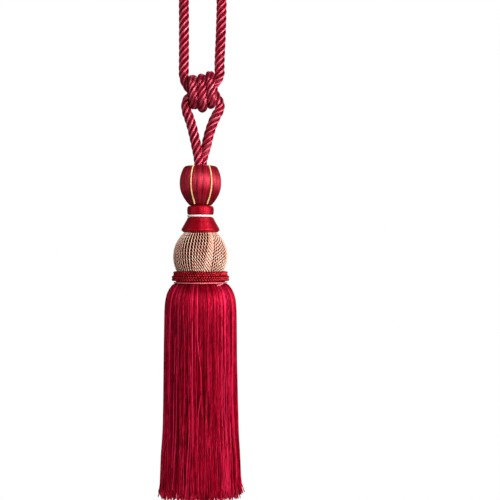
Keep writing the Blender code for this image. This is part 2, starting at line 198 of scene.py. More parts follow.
def ply_reach(turn, sides, plies, radius):
    """How far a thin twisted cord reaches at each side of each row: its outline is made of one arc for each
    ply, whose radius is PLY_FULLNESS times the cord's, and the outline has turned by turn[tube, row]."""
    sector = TURN / plies
    angle = full_turn(sides) - turn[..., None]
    local = (angle + sector / 2) % sector - sector / 2
    centre = 1 - PLY_FULLNESS
    return radius * (centre * np.cos(local) + np.sqrt(PLY_FULLNESS**2 - (centre * np.sin(local)) ** 2))


def eased_profile(points, top, step, ease):
    """(radius, z) rows from (radius, drop) points in mm, evenly spaced along their straight runs. Each row
    is then averaged with its neighbours over the length ease, which rounds the corners."""
    points = np.array(points) * MM
    lengths = length_along(points[None])[0]
    even = np.linspace(0.0, lengths[-1], round(lengths[-1] / step) + 1)
    rows = np.stack([np.interp(even, lengths, axis) for axis in points.T], axis=1) * (1, -1) + (0, top)
    reach = max(1, round(ease / step / 2))
    rows = np.pad(rows, ((reach, reach), (0, 0)), mode="reflect", reflect_type="odd")
    window = np.ones(2 * reach + 1) / (2 * reach + 1)
    return np.stack([np.convolve(rows[:, axis], window, mode="valid") for axis in range(2)], axis=1)


def turned(profile, columns, relief=0.0):
    """A surface turned round Z from (radius, z) rows that run down its outer side. relief[row, column]
    pushes a point out along the profile's normal."""
    slope = unit(np.gradient(profile, axis=0))
    radius = profile[:, :1] - relief * slope[:, 1:]
    height = profile[:, 1:] + relief * slope[:, :1]
    return on_circle(radius, full_turn(columns), height)[None]


# %% [markdown]
# ## Finishes
# All the yarns share two effects. The first draws fine fibres that run along a thread, from the thread's
# own UV map: ridges for the bump, and a random tone for each fibre. The second turns a tone into colour,
# from a deep one through the dyed one to a bright one, with slow patches as in hand-dyed silk. Both are
# node groups, so each finish places them with its own numbers. Masks from some pieces add painted shade
# and painted highlight to the tone. Reflection stays in each finish's own Principled shader.


# %% Node helpers
def add_node(tree, kind, inputs=None, **settings):
    """A node with its settings. An input is given as a value, or as the output that feeds it."""
    made = tree.nodes.new(kind)
    for name, value in settings.items():
        setattr(made, name, value)
    for key, value in (inputs or {}).items():
        if isinstance(value, bpy.types.NodeSocket):
            tree.links.new(value, made.inputs[key])
        else:
            made.inputs[key].default_value = value
    return made


def maths(tree, operation, *values, clamp=False):
    """The result of a Math node."""
    made = add_node(tree, "ShaderNodeMath", dict(enumerate(values)), operation=operation, use_clamp=clamp)
    return made.outputs[0]


def new_group(name, inputs, outputs):
    """An empty shader group, with the nodes for its inputs and outputs."""
    tree = bpy.data.node_groups.new(name, "ShaderNodeTree")
    for direction, sockets in (("INPUT", inputs), ("OUTPUT", outputs)):
        for socket, kind in sockets.items():
            tree.interface.new_socket(name=socket, in_out=direction, socket_type="NodeSocket" + kind)
    return tree, tree.nodes.new("NodeGroupInput").outputs, tree.nodes.new("NodeGroupOutput").inputs


# %% Group: fibres along a thread
FIBRE_TONE = 0.45
FIBRE_HEIGHT = 0.25
PATCH_TONE = 0.9
PATCH_PER_FIBRE = 0.35
TONE_DROP = 0.18
fibres, given, wanted = new_group(
    "Fibres along a thread",
    {"Map": "Vector", "Round": "Float", "Lean": "Float", "Breaks": "Float"},
    {"Height": "Float", "Tone": "Float"},
)
place = add_node(fibres, "ShaderNodeSeparateXYZ", {0: given["Map"]}).outputs
phase = maths(fibres, "MULTIPLY", place["X"], given["Round"])
phase = maths(fibres, "MULTIPLY_ADD", place["Y"], given["Lean"], phase)
ridge = maths(fibres, "ABSOLUTE", maths(fibres, "SINE", maths(fibres, "MULTIPLY", phase, np.pi)))
fibre_number = maths(fibres, "FLOOR", phase)
single = add_node(fibres, "ShaderNodeTexWhiteNoise", {"W": fibre_number}, noise_dimensions="1D")
single = single.outputs["Value"]
across = maths(fibres, "MULTIPLY", phase, PATCH_PER_FIBRE)
down = maths(fibres, "MULTIPLY", place["Y"], given["Breaks"])
broken = add_node(fibres, "ShaderNodeCombineXYZ", {"X": across, "Y": down}).outputs[0]
patch = add_node(fibres, "ShaderNodeTexNoise", {"Vector": broken, "Scale": 1.0, "Detail": 3.0}).outputs["Fac"]
tone = maths(fibres, "MULTIPLY_ADD", single, FIBRE_TONE, maths(fibres, "MULTIPLY", patch, PATCH_TONE))
fibres.links.new(maths(fibres, "SUBTRACT", tone, TONE_DROP, clamp=True), wanted["Tone"])
fibres.links.new(maths(fibres, "MULTIPLY_ADD", single, FIBRE_HEIGHT, ridge), wanted["Height"])

# %% Group: dyed colour, with painted light and shade from the masks
PATCHES_PER_METRE = 90.0
MIX_FROM, MIX_TO, MIX_RESULT = 6, 7, 2  # the numbers of a Mix node's colour sockets
dyed, given, wanted = new_group(
    "Dyed colour, painted light and shade",
    {"Place": "Vector", "Deep": "Color", "Body": "Color", "Bright": "Color"}
    | {"Tone": "Float", "Mottle": "Float"},
    {"Colour": "Color"},
)
cloud = {"Vector": given["Place"], "Scale": PATCHES_PER_METRE, "Detail": 2.0}
cloud = add_node(dyed, "ShaderNodeTexNoise", cloud)
level = maths(dyed, "SUBTRACT", cloud.outputs["Fac"], 0.5)
level = maths(dyed, "MULTIPLY_ADD", level, given["Mottle"], given["Tone"])
lower = maths(dyed, "MULTIPLY", level, 2.0, clamp=True)
upper = maths(dyed, "MULTIPLY_ADD", level, 2.0, -1.0, clamp=True)
below = {"Factor": lower, MIX_FROM: given["Deep"], MIX_TO: given["Body"]}
below = add_node(dyed, "ShaderNodeMix", below, data_type="RGBA").outputs[MIX_RESULT]
above = {"Factor": upper, MIX_FROM: below, MIX_TO: given["Bright"]}
above = add_node(dyed, "ShaderNodeMix", above, data_type="RGBA").outputs[MIX_RESULT]
dyed.links.new(above, wanted["Colour"])


# %% A finish for any yarn
def yarn(name, deep, body, bright, round_count, lean, breaks, relief, mottle=0.6, masks=(), **shader):
    """A Principled finish in three shades of a dye. round_count fibres lie side by side round the thread
    and lean sideways along it. Each mask is (attribute, amount), which is added to the tone; some masks
    paint shade and highlight into the colour this way. shader gives plain values for the shader. Its
    tangent points round the thread, so an anisotropic highlight spreads that way."""
    finish = bpy.data.materials.new(name)
    finish.use_nodes = True
    tree = finish.node_tree
    principled = tree.nodes["Principled BSDF"]
    uv = add_node(tree, "ShaderNodeUVMap", uv_map="thread").outputs[0]
    fibre = {"Map": uv, "Round": float(round_count), "Lean": lean, "Breaks": breaks}
    fibre = add_node(tree, "ShaderNodeGroup", fibre, node_tree=fibres).outputs
    level = fibre["Tone"]
    for attribute, amount in masks:
        mask = add_node(tree, "ShaderNodeAttribute", attribute_name=attribute).outputs["Fac"]
        level = maths(tree, "MULTIPLY_ADD", mask, amount, level)
    here = add_node(tree, "ShaderNodeTexCoord").outputs["Object"]
    dye = {"Deep": (*deep, 1.0), "Body": (*body, 1.0), "Bright": (*bright, 1.0)}
    dye |= {"Place": here, "Tone": level, "Mottle": mottle}
    colour = add_node(tree, "ShaderNodeGroup", dye, node_tree=dyed).outputs["Colour"]
    tree.links.new(colour, principled.inputs["Base Color"])
    bump = {"Height": fibre["Height"], "Strength": 1.0, "Distance": relief * MM}
    tree.links.new(add_node(tree, "ShaderNodeBump", bump).outputs[0], principled.inputs["Normal"])
    tangent = add_node(tree, "ShaderNodeTangent", direction_type="UV_MAP", uv_map="thread")
    tree.links.new(tangent.outputs[0], principled.inputs["Tangent"])
    for key, value in shader.items():
        principled.inputs[key.replace("_", " ")].default_value = value
    return finish


# %% [markdown]
# ## The cord loop
# The real cord is laid from five strands of shiny crimson yarn. It leaves the knob, climbs through the
# knot, goes round the loop, winds three times round itself and comes back down. A tube with a twisted
# picture on it would have a straight outline, so the section itself is a bundle of five arcs that turns as
# it is carried along the route. The route is a smooth curve through a few dozen points, and it is the same
# one that the solid follows.

# %% The cord's route
CORD_FULL_RADIUS = 4.15 * MM
CORD_KNOT_RADIUS = 3.66 * MM
CORD_KNOT_SPAN = (-110.0 * MM, -78.0 * MM)
CORD_KNOT_EASE = 6.0 * MM
CORD_LAY = 27.5 * MM
CORD_STEP = 0.5 * MM
SPLINE_SAMPLES = 400
ROUTE_UP = (
    ((-0.9, -3.6, -158.2), (-0.9, -3.6, -151), (-1.3, -3.5, -146), (-2.1, -2.9, -141.5))
    + ((-3.2, -2.2, -136.5), (-4.7, -1.8, -129.5), (-6.5, -1.9, -122), (-8.6, -2.2, -115))
    + ((-10.6, -2.5, -109.5), (-11.7, -2.6, -104), (-10.2, -2.6, -99), (-6, -2.6, -96))
    + ((-1, -2.6, -94.2), (4, -2.6, -91.8), (8.5, -2.6, -88.9), (12.6, -2.5, -85.7))
    + ((15.1, -2, -80.4), (15.3, -1, -74.5), (15.3, 0, -68), (15.9, 0, -55))
    + ((16.4, 0, -42), (16.8, 0, -28), (16.8, 0, -16), (15.2, 0, -6.6))
    + ((9.6, 0, 0.9), (0.6, 0, 3.5), (-8, 0, 0.8), (-12.1, 0, -6.6))
    + ((-13.2, 0, -16), (-13.2, 0, -35), (-13.2, 0, -55), (-13.3, 0.2, -70))
    + ((-13.4, 0.6, -78), (-12.7, 1.6, -84.2), (-10, 3.2, -88.9), (-7, 4.3, -93.6))
    + ((-5.4, 3.8, -99.2),)
)
ROUTE_DOWN = (
    ((8.8, 3, -83.8), (9.9, 4.8, -89.2), (11.9, 4, -94.8), (14.7, 2.2, -99.6))
    + ((15.7, 1, -105), (13.6, 0.8, -110), (11.2, 0.8, -114.5), (8.6, 1, -121))
    + ((6.3, 1.3, -128.5), (4.6, 1.9, -135.5), (3, 2.8, -140.8), (1.6, 3.5, -146))
    + ((0.9, 3.6, -151), (0.9, 3.6, -158.2))
)
# Each wrap's x at its bottom, front and top, then its z at the bottom and top, from left to right in mm.
WRAPS = np.array(
    [(-4.9, -5.3, -6.1, -103.9, -83.0), (1.9, 1.8, 0.9, -105.8, -82.2), (8.8, 8.8, 7.7, -103.0, -80.2)]
)
WRAP_CORE, WRAP_FRONT, WRAP_BACK = -2.6, -9.7, 10.4
WRAP_HALF_STEPS = 4
WRAP_ROUNDNESS = 0.8


def half_turn(x, y_out, z_from, z_to, part):
    """One side of a wrap: y swings from the core out to y_out and back, and z runs by a cosine."""
    out = np.sin(np.pi * part) ** WRAP_ROUNDNESS
    z = (z_from + z_to) / 2 + (z_from - z_to) / 2 * np.cos(np.pi * part)
    return np.stack([x, WRAP_CORE + (y_out - WRAP_CORE) * out, z], axis=1)


def wrap_points():
    """Up the front of each wrap on a parabola through its three x values, then down the back to the next
    one."""
    part = np.linspace(0.0, 1.0, WRAP_HALF_STEPS + 1)
    inner = part[1:-1]
    runs = []
    for index, (x_bottom, x_front, x_top, z_bottom, z_top) in enumerate(WRAPS):
        x = x_bottom * (1 - part) * (1 - 2 * part) + 4 * x_front * part * (1 - part)
        runs.append(half_turn(x + x_top * part * (2 * part - 1), WRAP_FRONT, z_bottom, z_top, part))
        if index < len(WRAPS) - 1:
            x_next, z_next = WRAPS[index + 1][0], WRAPS[index + 1][3]
            runs.append(half_turn(x_top + (x_next - x_top) * inner, WRAP_BACK, z_top, z_next, inner))
    return np.concatenate(runs)


def smooth_curve(points, step):
    """Evenly spaced points of a natural cubic spline through the given ones, and its length. Its parameter
    grows by the square root of the distance from each point to the next, which keeps close bends from
    looping."""
    knots = np.concatenate([[0.0], np.cumsum(np.linalg.norm(np.diff(points, axis=0), axis=1) ** 0.5)])
    width = np.diff(knots)
    slopes = np.diff(points, axis=0) / width[:, None]
    system = np.diag(np.concatenate([[1.0], 2 * (width[:-1] + width[1:]), [1.0]]))
    system += np.diag(np.append(width[:-1], 0.0), -1) + np.diag(np.append(0.0, width[1:]), 1)
    change = np.zeros_like(points)
    change[1:-1] = 6 * np.diff(slopes, axis=0)
    bend = np.linalg.solve(system, change)
    at = np.linspace(0.0, knots[-1], SPLINE_SAMPLES * len(knots))
    k = np.clip(np.searchsorted(knots, at, side="right") - 1, 0, len(width) - 1)
    ahead, behind, span = (knots[k + 1] - at)[:, None], (at - knots[k])[:, None], width[k][:, None]
    curve = (bend[k] * ahead**3 + bend[k + 1] * behind**3) / (6 * span)
    curve += (points[k] / span - bend[k] * span / 6) * ahead
    curve += (points[k + 1] / span - bend[k + 1] * span / 6) * behind
    along = length_along(curve[None])[0]
    even = np.linspace(0.0, along[-1], round(along[-1] / step) + 1)
    return np.stack([np.interp(even, along, axis) for axis in curve.T], axis=1), along[-1]


cord_line, cord_length = smooth_curve(np.concatenate([ROUTE_UP, wrap_points(), ROUTE_DOWN]) * MM, CORD_STEP)
print("cord:", round(cord_length, 4), "m")

# %% The cord's section
CORD_STRANDS = 5
POINTS_PER_STRAND = 17
STRAND_FULLNESS = 0.41
YARN_WIDTH = np.radians(36)
YARN_RUN = 430.0
YARN_RELIEF = 0.022 * MM
YARN_LEVEL = 0.7


def bundle_section(strands, per_strand, fullness):
    """Points on a bundle of round strands with an outer radius of 1. Each strand is a circle of radius
    fullness that shows the arc between its two neighbours. Gives each point's angle, its reach and its
    share of the arc."""
    centre, half = 1 - fullness, np.pi / strands
    crease = centre * np.cos(half) + np.sqrt(fullness**2 - (centre * np.sin(half)) ** 2)
    limit = np.arctan2(crease * np.sin(half), crease * np.cos(half) - centre)
    swing = np.linspace(-limit, limit, per_strand, endpoint=False)
    x, y = centre + fullness * np.cos(swing), fullness * np.sin(swing)
    angle = 2 * half * np.arange(strands)[:, None] + np.arctan2(y, x)
    return angle.ravel(), np.tile(np.hypot(x, y), strands), np.tile(swing, strands), limit


def carried_frames(path):
    """Two directions square to a path at each row, carried along it without turning round it."""
    direction = unit(np.gradient(path, axis=0))
    side = np.cross(direction[0], (0.0, 1.0, 0.0))
    sides = []
    for ahead in direction:
        side = unit(side - ahead * np.dot(side, ahead))
        sides.append(side)
    return np.array(sides), np.cross(direction, sides)


def cord_surface():
    """The section is scaled to the cord's radius, raised a little where a yarn crosses it, and turned once
    in each lay. A column keeps to its strand, so the crease between two strands is always an edge of the
    mesh."""
    angle, reach, swing, limit = bundle_section(CORD_STRANDS, POINTS_PER_STRAND, STRAND_FULLNESS)
    u, v = (axis[:, None] for axis in carried_frames(cord_line))
    along = np.linspace(0.0, cord_length, len(cord_line))[:, None]
    low, high = CORD_KNOT_SPAN
    z = cord_line[:, 2:]
    inside = np.clip((z - low) / CORD_KNOT_EASE, 0, 1) * np.clip((high - z) / CORD_KNOT_EASE, 0, 1)
    radius = CORD_FULL_RADIUS + (CORD_KNOT_RADIUS - CORD_FULL_RADIUS) * inside
    yarns = np.abs(np.sin(np.pi * (swing / YARN_WIDTH + along * YARN_RUN)))
    # groove is 0 on a strand's crest and 1 in the crease between strands. It fades the yarn relief there, and
    # it is also returned as a mask of painted shade that darkens the creases.
    groove = (np.abs(swing) / limit) ** 2
    out = (radius * reach + YARN_RELIEF * (yarns - YARN_LEVEL) * (1 - groove))[..., None]
    around = (TURN * along / CORD_LAY - angle)[..., None]
    points = cord_line[:, None] + out * (np.cos(around) * u + np.sin(around) * v)
    return points[None], along.T, np.broadcast_to(groove, points.shape[:2])[None]


# %% Dress the cord
# Painted shade: the groove mask pulls the tone down towards CRIMSON_DEEP in the creases between strands.
CRIMSON_DEEP = (0.11, 0.0, 0.005)
CRIMSON = (0.44, 0.006, 0.036)
CRIMSON_BRIGHT = (0.84, 0.30, 0.38)
cord_yarn = yarn(
    "lustrous crimson cord", CRIMSON_DEEP, CRIMSON, CRIMSON_BRIGHT,
    round_count=60, lean=-0.35, breaks=0.15, relief=0.025, mottle=0.3, masks=[("groove", -0.7)],
    Metallic=0.55, Roughness=0.33, Anisotropic=1.0, Specular_IOR_Level=1.0,
    Specular_Tint=(1.0, 0.62, 0.7, 1.0),
)
cord_points, cord_along, cord_crease_shade = cord_surface()
cord = make_piece(
    "twisted_cord", cord_points, cord_along, cord_yarn, "twisted_cord", ["cord_loop"], groove=cord_crease_shade
)

# %% [markdown]
# ## The knob
# Under the cord hangs a turned wooden knob. Shiny floss is laid over it from the hole in its top down to
# its foot, hundreds of threads side by side, and four thin gold cords are pulled into it. The light on it
# breaks into upright streaks, because the threads don't lie quite evenly. So the mesh has four columns for
# each thread: the crest, the valley and the two slopes. Slow waves push small bundles of threads out and
# sideways.

# %% The knob's shape
KNOB_TOP = -152.2 * MM
KNOB_PROFILE = (
    ((11.2, 0), (12.6, 0.6), (13.9, 2.4), (15.6, 6.9), (16.5, 13), (15.8, 19.6), (13.7, 24.6))
    + ((10.8, 29), (8.6, 31.4))
)
KNOB_HOLE_RADIUS = 4.95 * MM
KNOB_HOLE_HALF_RUN = 3.5 * MM
KNOB_HOLE_DEPTH = 6.4 * MM
KNOB_FLAT = ((9.4, 0.0), (10.4, 0.0))
KNOB_FLAT_ROWS = 4
KNOB_ROW = 0.6 * MM
KNOB_CORD_ANGLES = np.radians([-55.0, 65.0, 125.0, -115.0])
KNOB_GROOVE = 0.8 * MM
KNOB_GROOVE_WIDTH = np.radians(30.0)
KNOB_DENT_WIDTH = np.radians(4.5)
KNOB_GROOVE_SHARE, KNOB_DENT_SHARE = 0.55, 0.6
KNOB_THREADS = 236
KNOB_THREAD_RELIEF = 0.085 * MM
KNOB_BUNDLE_RELIEF = 0.11 * MM
KNOB_SWAY = np.radians(1.1)
KNOB_FOOT_SHADE = 1.8
KNOB_SHADE_START, KNOB_SHADE_RUN = 17 * MM, 12 * MM


def slot_radius(angle):
    """Where a round-ended slot along Y ends at each angle: on a straight side, or on one of its round
    ends."""
    across, along = np.abs(np.cos(angle)), np.abs(np.sin(angle))
    side = KNOB_HOLE_RADIUS / np.maximum(across, 1e-6)
    chord = np.maximum(KNOB_HOLE_RADIUS**2 - (KNOB_HOLE_HALF_RUN * across) ** 2, 0.0)
    end = KNOB_HOLE_HALF_RUN * along + np.sqrt(chord)
    return np.where(KNOB_HOLE_RADIUS * along <= KNOB_HOLE_HALF_RUN * across, side, end)


def knob_groove(angle):
    """The depth of the dents under the gold cords: a wide soft one and a narrow one, both deepest at each
    cord."""
    off = np.abs(wrapped(angle[..., None] - KNOB_CORD_ANGLES)).min(axis=-1)
    wide = np.cos(np.pi / 2 * np.minimum(off / KNOB_GROOVE_WIDTH, 1.0)) ** 6
    narrow = np.exp(-((off / KNOB_DENT_WIDTH) ** 2))
    return KNOB_GROOVE * (KNOB_GROOVE_SHARE * wide + KNOB_DENT_SHARE * narrow)


def knob_surface():
    """Rows go up the hole's wall, over the flat top, down the side and in at the foot. On the flat top a
    row's outline blends from the slot to a circle. |cos| of a column's phase gives each thread its crest."""
    side, _ = smooth_curve(np.array([*KNOB_FLAT, *KNOB_PROFILE]) * MM, KNOB_ROW)
    side[:, 1] = KNOB_TOP - side[:, 1]
    flat = np.linspace(0.0, 1.0, KNOB_FLAT_ROWS + 2)[1:-1]
    angle = full_turn(4 * KNOB_THREADS)
    blend = np.concatenate([[1.0, 1.0], 1 - flat, np.zeros(len(side))])[:, None]
    radius = np.concatenate([[0.0, 0.0], side[0, 0] + 0 * flat, side[:, 0]])[:, None]
    height = [KNOB_TOP - KNOB_HOLE_DEPTH] + [KNOB_TOP] * (1 + KNOB_FLAT_ROWS)
    height = np.concatenate([height, side[:, 1]])[:, None]
    along = np.cumsum(np.concatenate([[0.0], np.hypot(np.diff(radius[:, 0]), np.diff(height[:, 0]))]))
    threads = np.abs(np.cos(np.pi * KNOB_THREADS * angle / TURN))
    bundles = soft_noise(angle, along[:, None] / MM, seed=3, most_around=46, most_along=0.10, waves=14)
    sway = soft_noise(angle, along[:, None] / MM, seed=5, most_around=30, most_along=0.16, waves=10)
    fade = 1 - blend
    shaped = blend * slot_radius(angle) + fade * radius
    shaped = shaped - fade * knob_groove(angle) + fade * KNOB_BUNDLE_RELIEF * bundles
    shaped = shaped + fade * KNOB_THREAD_RELIEF * (threads - 1)
    points = on_circle(shaped, angle + fade * KNOB_SWAY * sway, height)
    # Painted shade: the tone grows darker towards the knob's foot, where the surface faces down. The bundle
    # mask carries this together with the bundles' random tone.
    foot = np.clip((KNOB_TOP - height - KNOB_SHADE_START) / KNOB_SHADE_RUN, 0, 1)
    return points[None], along[None], (bundles - KNOB_FOOT_SHADE * foot)[None]


# %% Dress the knob
SATIN_DEEP = (0.05, 0.0, 0.002)
SATIN = (0.30, 0.001, 0.011)
SATIN_BRIGHT = (0.60, 0.006, 0.04)
# The bundle mask adds the bundles' random tone and the painted shade at the foot.
knob_floss = yarn(
    "laid crimson floss", SATIN_DEEP, SATIN, SATIN_BRIGHT,
    round_count=KNOB_THREADS * 2, lean=0.6, breaks=0.12, relief=0.04, masks=[("bundle", 0.16)],
    Metallic=0.4, Roughness=0.45, Anisotropic=0.7, Specular_IOR_Level=0.6,
    Specular_Tint=(1.0, 0.55, 0.68, 1.0),
)
knob_points, knob_along, knob_bundle_and_foot_shade = knob_surface()
make_piece("knob_floss", knob_points, knob_along, knob_floss, "satin_thread", ["knob"], bundle=knob_bundle_and_foot_shade)

# %% [markdown]
# ## The gold cords on the knob
# Each one is two gold threads twisted together, pulled tight over the knob from its flat top to its foot.
# All four are made at once: one path along the knob's profile, stood at four angles, with a two-ply
# section.

# %% The gold cords
GOLD_CORD_RADIUS = 0.68 * MM
GOLD_CORD_LIFT = 0.66 * MM
GOLD_CORD_PITCH = 2.4 * MM
GOLD_CORD_START = ((9.8, 2.2), (10.6, 1.3))
GOLD_CORD_FOOT = (9.5, 30.4)
GOLD_CORD_ROW = 0.25 * MM
GOLD_CORD_EASE = 2.0 * MM
THIN_CORD_SIDES = 12


def knob_cord_paths():
    """The knob's profile less the groove, moved out along its normal, and turned to each cord's angle."""
    bed = [(radius - KNOB_GROOVE / MM, drop) for radius, drop in KNOB_PROFILE[1:-1]]
    bed = eased_profile((*GOLD_CORD_START, *bed, GOLD_CORD_FOOT), KNOB_TOP, GOLD_CORD_ROW, GOLD_CORD_EASE)
    slope = unit(np.gradient(bed, axis=0))
    normal = np.stack([-slope[:, 1], slope[:, 0]], axis=1)
    bed = bed + GOLD_CORD_LIFT * normal
    angle = KNOB_CORD_ANGLES[:, None]
    return on_circle(bed[:, 0], angle, bed[:, 1]), on_circle(normal[:, 0], angle, normal[:, 1])


GOLD_DEEP = (0.35, 0.11, 0.03)
GOLD = (0.92, 0.52, 0.22)
GOLD_BRIGHT = (1.0, 0.76, 0.46)
gold_thread = yarn(
    "twisted gold thread", GOLD_DEEP, GOLD, GOLD_BRIGHT,
    round_count=16, lean=0.9, breaks=0.5, relief=0.03,
    Roughness=0.36, Sheen_Weight=0.2,
)
gold_path, gold_normal = knob_cord_paths()
gold_along = length_along(gold_path)
gold_reach = ply_reach(TURN * gold_along / GOLD_CORD_PITCH, THIN_CORD_SIDES, 2, GOLD_CORD_RADIUS)
make_piece(
    "knob_gold_cords",
    round_tubes(gold_path, gold_normal, gold_reach, THIN_CORD_SIDES),
    gold_along,
    gold_thread,
    "gold_thread",
    ["knob_cord_1", "knob_cord_2", "knob_cord_3", "knob_cord_4"],
)

# %% [markdown]
# ## The collar, the cone and the ring between them
# These two moulds are wound round and round with the same shiny thread, so the ridges lie level and the
# light makes one upright band. Their profiles are cut into rows a quarter of a thread apart, and each
# thread's rows are raised by a half sine. A cream cord of three plies closes the joint between them.

# %% Wound moulds
WOUND_THREAD = 0.42 * MM
WOUND_ROWS = 4
WOUND_RELIEF = 0.045 * MM
WOUND_DIP = 0.03 * MM
WOUND_SWAY = 0.35
WOUND_COLUMNS = 120
COLLAR_TOP = -183.9 * MM
COLLAR_PROFILE = ((8, 0), (9.6, 0.35), (10.5, 1.5), (10.75, 3.6), (10.6, 5.6), (10.3, 7.15), (8.6, 7.2))
CONE_TOP = -191.4 * MM
CONE_PROFILE = ((8.2, 0), (8.35, 1.9), (10.2, 1.95), (11.4, 4.4), (15.1, 11), (15.35, 12.2), (13.6, 13.8))


def wound_surface(profile, top, ease, seed):
    """A turned mould whose rows rise by |sin| of their distance down the profile, once for each thread.
    Slow noise lets the threads dip and sway, as they do where a hand has laid them."""
    rows = eased_profile(profile, top, WOUND_THREAD / WOUND_ROWS, ease)
    along = np.arange(len(rows))[:, None] * WOUND_THREAD / WOUND_ROWS
    angle = full_turn(WOUND_COLUMNS)
    sway = soft_noise(angle, along / MM, seed, most_around=5, most_along=1.5)
    dip = soft_noise(angle, along / MM, seed + 1, most_around=4, most_along=1.2)
    threads = np.abs(np.sin(np.pi * along / WOUND_THREAD + WOUND_SWAY * sway))
    return turned(rows, WOUND_COLUMNS, WOUND_RELIEF * (threads - 1) + WOUND_DIP * dip), along.T


wound_thread = yarn(
    "wound scarlet thread", (0.08, 0.0, 0.002), (0.38, 0.001, 0.010), (0.52, 0.003, 0.02),
    round_count=3, lean=4.8, breaks=0.8, relief=0.02, mottle=0.2,
    Metallic=0.45, Roughness=0.4, Anisotropic=0.8, Anisotropic_Rotation=0.25, Specular_IOR_Level=1.0,
    Specular_Tint=(1.0, 0.15, 0.25, 1.0),
)
collar_points, collar_along = wound_surface(COLLAR_PROFILE, COLLAR_TOP, ease=0.8 * MM, seed=11)
cone_points, cone_along = wound_surface(CONE_PROFILE, CONE_TOP, ease=0.6 * MM, seed=13)
make_piece("wound_collar", collar_points, collar_along, wound_thread, "satin_thread", ["collar"])
make_piece("wound_cone", cone_points, cone_along, wound_thread, "satin_thread", ["cone"])


# %% Twisted rings
def twisted_ring(ring_radius, height, cord_radius, plies, twists, rows):
    """A closed twisted cord round Z, with a whole number of twists so that its end meets its start."""
    angle = full_turn(rows)
    path = on_circle(ring_radius, angle, height)[None]
    reach = ply_reach(twists * angle[None], THIN_CORD_SIDES, plies, cord_radius)
    points = round_tubes(path, on_circle(1.0, angle, 0.0)[None], reach, THIN_CORD_SIDES, closed=True)
    return points, length_along(path, closed=True)


NECK_RING_RADIUS = 9.85 * MM
NECK_CORD_RADIUS = 0.88 * MM
NECK_RING_HEIGHT = -192.2 * MM
cream_thread = yarn(
    "cream cord", (0.90, 0.70, 0.60), (1.0, 0.90, 0.82), (1.0, 0.97, 0.93),
    round_count=18, lean=0.8, breaks=0.5, relief=0.03,
    Roughness=0.5, Sheen_Weight=0.3,
)
neck_points, neck_along = twisted_ring(
    NECK_RING_RADIUS, NECK_RING_HEIGHT, NECK_CORD_RADIUS, plies=3, twists=26, rows=260
)
make_piece("cream_ring", neck_points, neck_along, cream_thread, "cream_thread", ["neck_ring"], closed=True)

# %% [markdown]
# ## The netted ball
# The ball is a dark red mould, and it shows only through the holes of a net that is knitted from pinkish
# gold thread. A picture of a net with holes cut by transparency would look flat at the ball's edge, where
# the real threads close up. So the net is made of wales, as a knitted one is: each wale is a chain of
# slanted stitches that runs from the top to the bottom, and level threads behind the wales join them.
# Pulled over a ball, such a net stands upright in one place, slants to the left or right beside it, and
# gathers where it has too much cloth.

# %% The ball
BALL_CENTRE = -224.7 * MM
BALL_HALF_WIDTH, BALL_HALF_HEIGHT = 20.7, 22.9
BALL_TOP, BALL_HEIGHT = 19.2, 34.9
BALL_ROWS = 169
BALL_COLUMNS = 96
BALL_THREAD = 1.0 * MM
BALL_RELIEF = 0.05 * MM


def oval(polar, out):
    """(radius, z) of the ball's oval at polar angles from its top, moved out by out."""
    radius = (BALL_HALF_WIDTH * MM + out) * np.sin(polar)
    return np.stack([radius, BALL_CENTRE + (BALL_HALF_HEIGHT * MM + out) * np.cos(polar)], axis=-1)


dark_thread = yarn(
    "dark red winding", (0.006, 0.0, 0.0003), (0.018, 0.0002, 0.0006), (0.045, 0.0006, 0.002),
    round_count=3, lean=4.0, breaks=1.6, relief=0.02,
    Roughness=0.8, Specular_IOR_Level=0.1,
)
ball_ends = np.arccos(np.array([BALL_TOP, BALL_TOP - BALL_HEIGHT]) / BALL_HALF_HEIGHT)
ball_rows = oval(np.linspace(*ball_ends, BALL_ROWS), 0.0)
ball_along = length_along(ball_rows[None])
ball_relief = BALL_RELIEF * (np.abs(np.sin(np.pi * ball_along.T / BALL_THREAD)) - 1)
ball_points = turned(ball_rows, BALL_COLUMNS, ball_relief)
make_piece("dark_ball", ball_points, ball_along, dark_thread, "dark_thread", ["ball"])

# %% The net
NET_MESHES = 12
NET_COLUMNS = 32
NET_ROWS = 145
NET_LIFT = 0.85 * MM
NET_DIP = 0.3 * MM
NET_THREAD_RADIUS = 0.33 * MM
NET_CROWDED_RADIUS = 0.44 * MM
NET_CROWD_CENTRE = 9.5
NET_CROWD_REACH = 3.5
NET_THREAD_SIDES = 8
NET_STITCH_SHARE = 0.72
NET_PLY_TURNS = 1.5
NET_UPRIGHT_WALE, NET_UPRIGHT_REACH, NET_UPRIGHT_EASE = 1, 4, 3
NET_DRIFT = 0.01
NET_UNEVENNESS = 0.06
NET_UNEVEN_FOLDS = 5
NET_LINK_RADIUS = 0.18 * MM
NET_LINK_LIFT = 0.45 * MM
NET_LINK_SIDES = 4
NET_LINK_STEPS = 400
NET_LINK_WAVES = 50
NET_LINK_SAG = 0.10
NET_LINK_DRIFT = 0.008
NET_HALF_HEIGHT, NET_DROP = 23.8, 11.6
NET_TOP = np.arccos(BALL_TOP / NET_HALF_HEIGHT)
NET_BOTTOM = np.arccos(-NET_DROP / NET_HALF_HEIGHT)
# Wales are numbered from left to right over the front half, and again over the back half.
NET_WALES = np.tile(np.arange(-NET_COLUMNS // 2, NET_COLUMNS // 2), 2)
